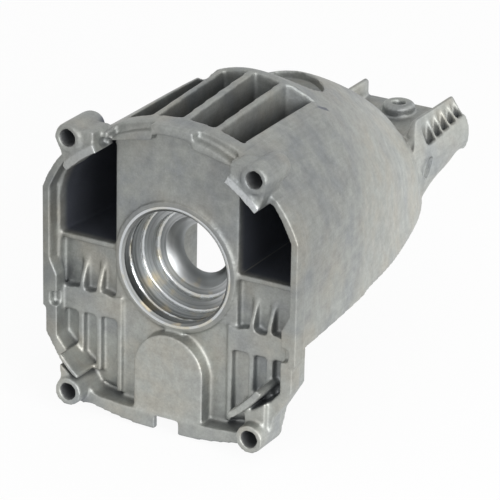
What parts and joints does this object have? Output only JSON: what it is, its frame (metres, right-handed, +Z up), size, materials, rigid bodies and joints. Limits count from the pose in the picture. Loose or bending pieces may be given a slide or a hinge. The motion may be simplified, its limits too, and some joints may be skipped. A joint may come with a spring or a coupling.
{
  "type": "jigsaw gear housing cover",
  "caption": "Die-cast gear housing of a jigsaw: screw flange with a bearing seat and side air ducts, slotted domed body and an open neck with upright cheeks.",
  "frame": {"origin": "centre of the four motor screws, in the plane of their boss faces", "axes": "+Y from the motor flange into the body, along the bearing axis; +Z up, towards the air slots; +X to the right seen from the motor"},
  "size_m": [0.069, 0.1262, 0.0796],
  "materials": {
    "cast_aluminium": "as die-cast, matt grey, with a turned bearing seat"
  },
  "bodies": {
    "root": {"gear_housing": "cast_aluminium"}
  },
  "joints": []
}
